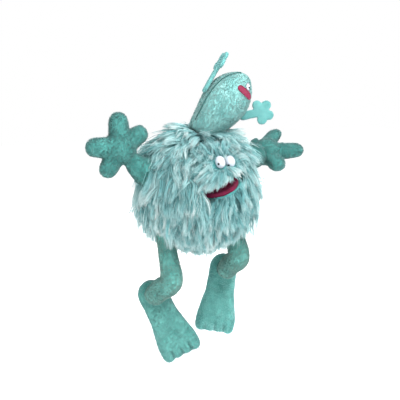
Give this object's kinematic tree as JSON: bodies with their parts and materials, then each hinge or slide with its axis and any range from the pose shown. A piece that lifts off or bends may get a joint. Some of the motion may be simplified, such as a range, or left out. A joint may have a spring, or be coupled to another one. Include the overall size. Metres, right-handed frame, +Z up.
{
  "type": "moving mouth puppet",
  "caption": "Long-furred hand puppet with an opening mouth, jointed plush arms and legs, and a small egg-shaped finger puppet growing out of its head.",
  "frame": {"origin": "middle of the round body, on the axis of the hand sleeve", "axes": "+Y backwards out of the hand sleeve, -Y the way the puppet looks, +Z up, +X the puppet's left"},
  "size_m": [0.403, 0.2023, 0.5314],
  "materials": {
    "fur": "long wavy pile",
    "plush": "short pile",
    "small_plush": "short pile",
    "filling": "loose polyester fibre",
    "lining": "plain weave",
    "mouth": "brushed felt",
    "board": "thin stiffener",
    "eye_white": "smooth",
    "pupil": "smooth",
    "stitching": "satin stitch"
  },
  "bodies": {
    "body": {"fur_face_panel": "fur", "fur_left_panel": "fur", "fur_right_panel": "fur", "fur_back_panel": "fur", "body_filling": "filling", "hand_sleeve": "lining", "sleeve_hem": "lining", "mouth_fold": "mouth"},
    "upper_jaw": {"muzzle": "fur", "brow": "fur", "upper_mouth_board": "board", "upper_palate": "mouth", "finger_pocket": "lining", "left_eye": "eye_white", "right_eye": "eye_white", "left_pupil": "pupil", "right_pupil": "pupil"},
    "lower_jaw": {"chin": "fur", "lower_mouth_board": "board", "lower_palate": "mouth", "lower_lip": "mouth", "thumb_pocket": "lining"},
    "right_arm": {"right_arm_cover": "plush", "right_arm_filling": "filling"},
    "right_hand": {"right_hand_cover": "plush", "right_hand_filling": "filling"},
    "left_arm": {"left_arm_cover": "plush", "left_arm_filling": "filling"},
    "left_hand": {"left_hand_cover": "plush", "left_hand_filling": "filling"},
    "right_thigh": {"right_thigh_cover": "plush", "right_thigh_filling": "filling"},
    "right_shin": {"right_shin_cover": "plush", "right_shin_filling": "filling"},
    "right_foot": {"right_foot_cover": "plush", "right_foot_filling": "filling"},
    "left_thigh": {"left_thigh_cover": "plush", "left_thigh_filling": "filling"},
    "left_shin": {"left_shin_cover": "plush", "left_shin_filling": "filling"},
    "left_foot": {"left_foot_cover": "plush", "left_foot_filling": "filling"},
    "small_base": {"small_collar": "plush"},
    "small_body": {"small_front_cover": "small_plush", "small_back_cover": "small_plush", "small_filling": "filling", "small_finger_sleeve": "lining", "small_mouth_patch": "stitching", "small_eye": "eye_white", "small_pupil": "pupil"},
    "small_left_arm": {"small_left_arm": "plush"},
    "small_right_arm": {"small_right_arm": "plush"}
  },
  "joints": [
    {"name": "upper_jaw", "type": "hinge", "parent": "body", "child": "upper_jaw", "pos_m": [0, -0.044, 0.019], "axis": [0.9085, 0.0955, 0.4067], "range_deg": [-12, 7], "stiffness_Nm_per_rad": 0.25},
    {"name": "lower_jaw", "type": "hinge", "parent": "body", "child": "lower_jaw", "pos_m": [0, -0.044, 0.019], "axis": [0.9085, 0.0955, 0.4067], "range_deg": [-7, 25], "stiffness_Nm_per_rad": 0.25},
    {"name": "right_shoulder", "type": "hinge", "parent": "body", "child": "right_arm", "pos_m": [-0.07, 0.002, 0.016], "axis": [-0.054, -0.9985, 0], "range_deg": [-12, 35], "stiffness_Nm_per_rad": 0.3},
    {"name": "right_wrist", "type": "hinge", "parent": "right_arm", "child": "right_hand", "pos_m": [-0.107, 0.004, 0.041], "axis": [-0.0312, -0.9995, 0], "range_deg": [-10, 25], "stiffness_Nm_per_rad": 0.12},
    {"name": "left_shoulder", "type": "hinge", "parent": "body", "child": "left_arm", "pos_m": [0.072, 0, 0.034], "axis": [0, 1, 0], "range_deg": [-12, 35], "stiffness_Nm_per_rad": 0.3},
    {"name": "left_wrist", "type": "hinge", "parent": "left_arm", "child": "left_hand", "pos_m": [0.131, 0, 0.051], "axis": [0, 1, 0], "range_deg": [-10, 25], "stiffness_Nm_per_rad": 0.12},
    {"name": "right_hip", "type": "hinge", "parent": "body", "child": "right_thigh", "pos_m": [-0.06, -0.006, -0.062], "axis": [0.9676, -0.2524, 0], "range_deg": [-30, 25], "stiffness_Nm_per_rad": 0.3},
    {"name": "right_knee", "type": "hinge", "parent": "right_thigh", "child": "right_shin", "pos_m": [-0.066, -0.029, -0.147], "axis": [0.9796, 0.1655, -0.1139], "range_deg": [-50, 12], "stiffness_Nm_per_rad": 0.2},
    {"name": "right_ankle", "type": "hinge", "parent": "right_shin", "child": "right_foot", "pos_m": [-0.077, 0.012, -0.182], "axis": [0.8054, -0.3709, 0.4623], "range_deg": [-18, 18], "stiffness_Nm_per_rad": 0.12},
    {"name": "left_hip", "type": "hinge", "parent": "body", "child": "left_thigh", "pos_m": [0.06, -0.006, -0.046], "axis": [0.9676, 0.2524, 0], "range_deg": [-30, 25], "stiffness_Nm_per_rad": 0.3},
    {"name": "left_knee", "type": "hinge", "parent": "left_thigh", "child": "left_shin", "pos_m": [0.066, -0.029, -0.122], "axis": [0.9971, 0.0133, 0.0747], "range_deg": [-50, 12], "stiffness_Nm_per_rad": 0.2},
    {"name": "left_ankle", "type": "hinge", "parent": "left_shin", "child": "left_foot", "pos_m": [0.068, 0.012, -0.156], "axis": [0.8418, -0.5174, -0.1541], "range_deg": [-18, 18], "stiffness_Nm_per_rad": 0.12},
    {"name": "small_turn", "type": "hinge", "parent": "body", "child": "small_base", "pos_m": [0.0045, -0.012, 0.098], "axis": [0, 0, 1], "range_deg": [-30, 30], "stiffness_Nm_per_rad": 0.25},
    {"name": "small_lean", "type": "hinge", "parent": "small_base", "child": "small_body", "pos_m": [0.0045, -0.012, 0.098], "axis": [0.3023, 0.9532, 0], "range_deg": [-70, 8], "stiffness_Nm_per_rad": 0.6},
    {"name": "small_left_shoulder", "type": "hinge", "parent": "small_body", "child": "small_left_arm", "pos_m": [0.076, -0.0214, 0.1187], "axis": [-0.4924, -0.8529, 0.1736], "range_deg": [-35, 18], "stiffness_Nm_per_rad": 0.04},
    {"name": "small_right_shoulder", "type": "hinge", "parent": "small_body", "child": "small_right_arm", "pos_m": [0.0043, -0.02, 0.1658], "axis": [-0.81, 0.2701, 0.5206], "range_deg": [-35, 30], "stiffness_Nm_per_rad": 0.04}
  ]
}
